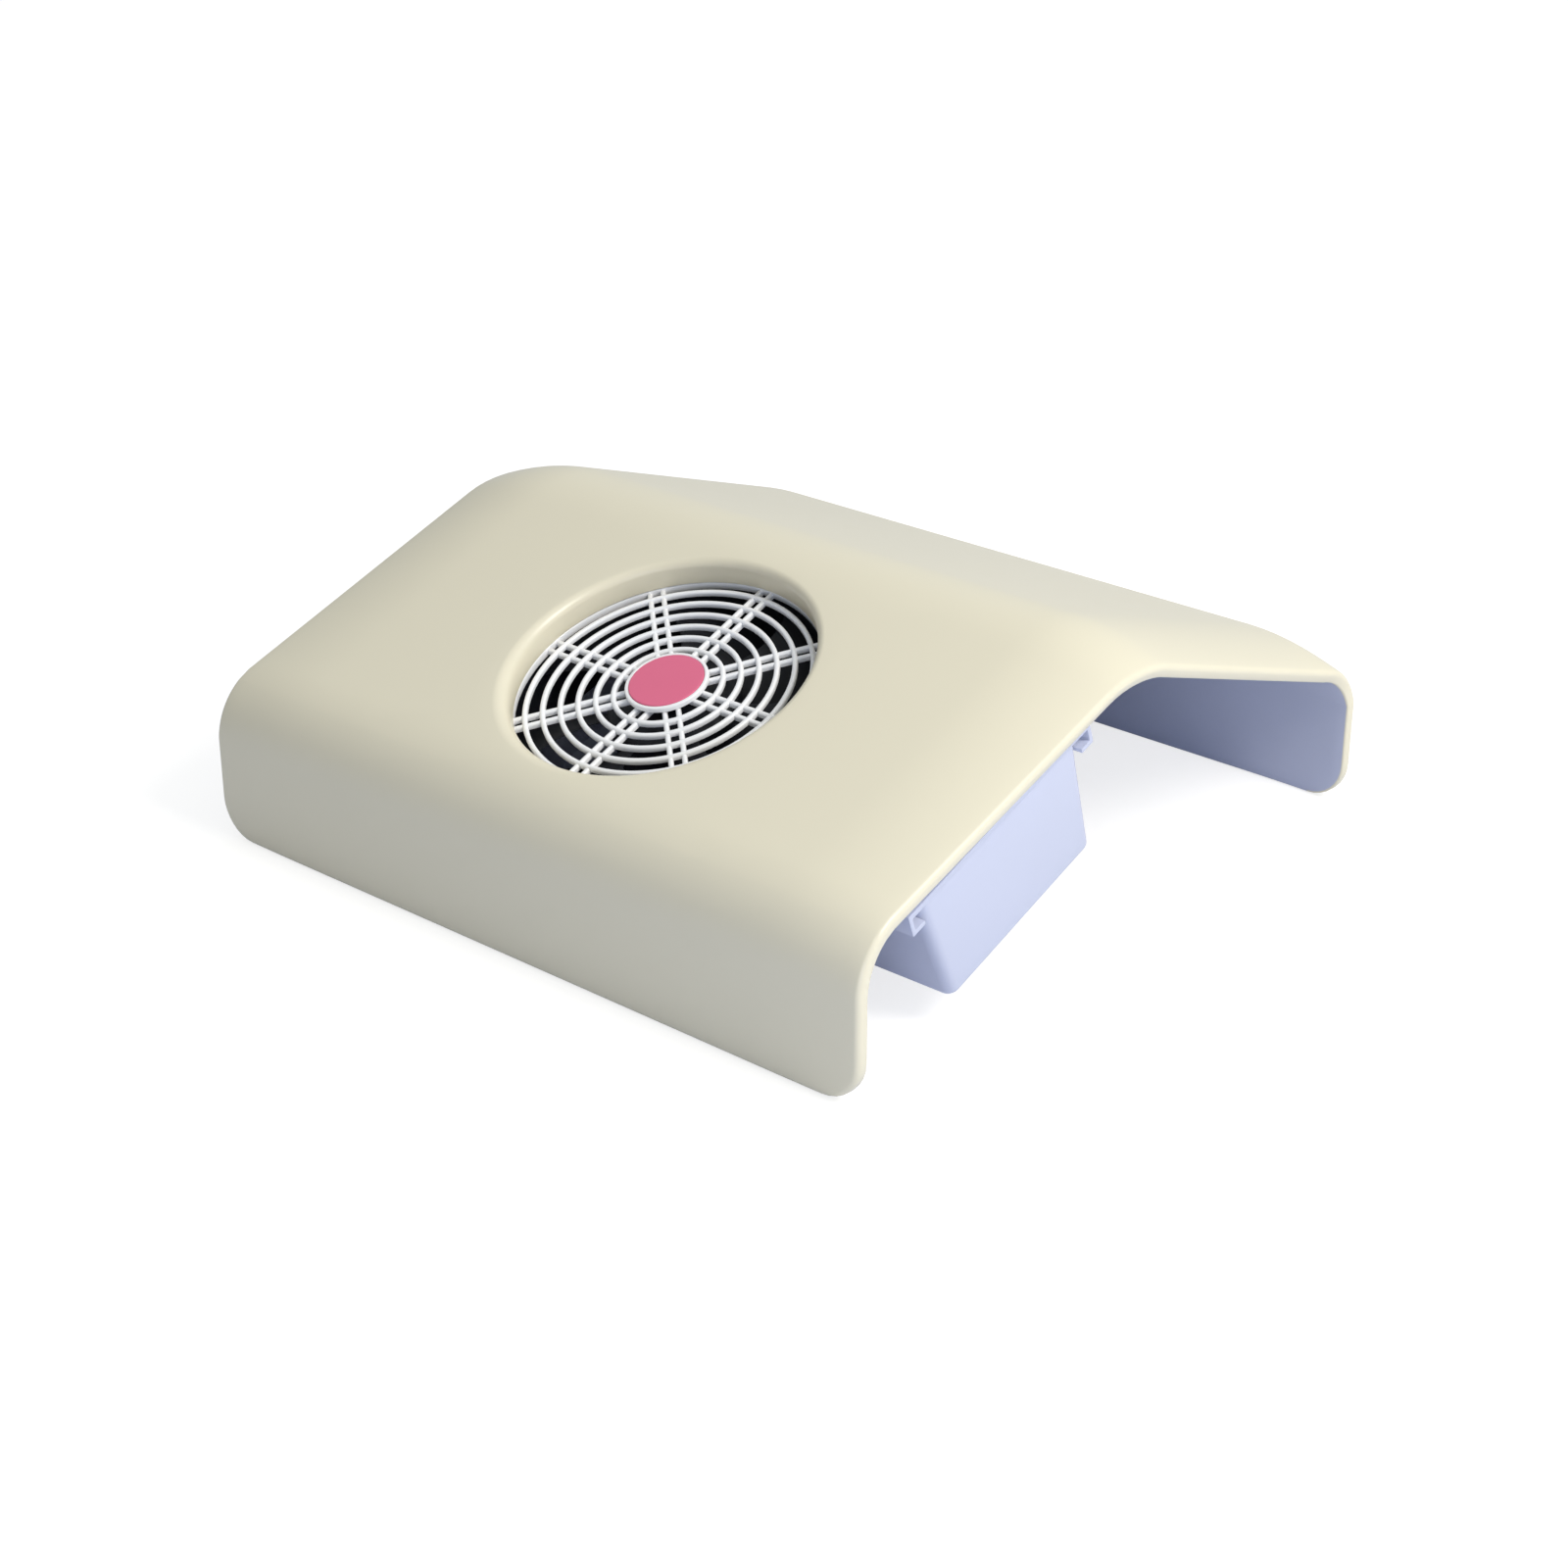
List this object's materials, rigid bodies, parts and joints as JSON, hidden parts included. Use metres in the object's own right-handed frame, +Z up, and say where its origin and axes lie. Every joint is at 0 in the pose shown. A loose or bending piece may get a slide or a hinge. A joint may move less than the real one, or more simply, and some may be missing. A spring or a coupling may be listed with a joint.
{
  "type": "nail dust collector",
  "caption": "Arched desk-top nail dust collector: a hand rest with a grilled fan in its front slope, blowing into a pull-out dust drawer under one end.",
  "frame": {"origin": "on the table, under the middle of the arch", "axes": "+X along the width towards the drawer's end, -Y towards the user and the fan's slope, +Z up"},
  "size_m": [0.3, 0.294, 0.1079],
  "materials": {
    "cream_shell": "gloss",
    "white_grille": "satin",
    "pink_badge": "satin",
    "lavender_box": "satin",
    "black_fan": "satin",
    "navy_blades": "satin",
    "grey_foam": "matte",
    "filter_felt": "matte",
    "steel": "satin",
    "core_steel": "satin",
    "copper_wire": "satin",
    "board_green": "satin",
    "magnet": "matte",
    "brass": "satin",
    "lead_sleeve": "satin"
  },
  "bodies": {
    "housing": {"bearing_lower": "brass", "bearing_upper": "brass", "box_screw_1": "steel", "box_screw_2": "steel", "coil_1": "copper_wire", "coil_2": "copper_wire", "coil_3": "copper_wire", "coil_4": "copper_wire", "control_box": "lavender_box", "control_cover": "lavender_box", "cover_screw_1": "steel", "cover_screw_2": "steel", "cover_screw_3": "steel", "cover_screw_4": "steel", "drawer_hanger": "lavender_box", "duct_housing": "lavender_box", "fan_board": "board_green", "fan_frame": "black_fan", "fan_gasket": "grey_foam", "fan_lead": "lead_sleeve", "fan_screw_1": "steel", "fan_screw_2": "steel", "fan_screw_3": "steel", "fan_screw_4": "steel", "grille": "white_grille", "grille_badge": "pink_badge", "hanger_screw_1": "steel", "hanger_screw_2": "steel", "hanger_screw_3": "steel", "hanger_screw_4": "steel", "jack_lead": "lead_sleeve", "jack_nut": "steel", "jack_pin": "brass", "power_jack": "lead_sleeve", "shell": "cream_shell", "stator_core": "core_steel", "switch_body": "lead_sleeve", "switch_terminal_1": "brass", "switch_terminal_2": "brass"},
    "fan_wheel": {"fan_rotor": "navy_blades", "magnet_ring": "magnet", "fan_shaft": "steel", "shaft_clip": "steel"},
    "drawer": {"dust_drawer": "lavender_box", "filter_pad": "filter_felt", "filter_grid": "white_grille"},
    "rocker": {"switch_rocker": "black_fan"}
  },
  "joints": [
    {"name": "fan_spin", "type": "hinge", "parent": "housing", "child": "fan_wheel", "pos_m": [0, -0.07115, 0.0855], "axis": [0, -0.3409, 0.9401], "continuous": true},
    {"name": "drawer_slide", "type": "slide", "parent": "housing", "child": "drawer", "axis": [1, 0, 0], "range_m": [0, 0.07]},
    {"name": "rocker_tilt", "type": "hinge", "parent": "housing", "child": "rocker", "pos_m": [-0.1421, -0.07247, 0.03928], "axis": [0, -0.9401, -0.3409], "range_deg": [0, 18]}
  ]
}
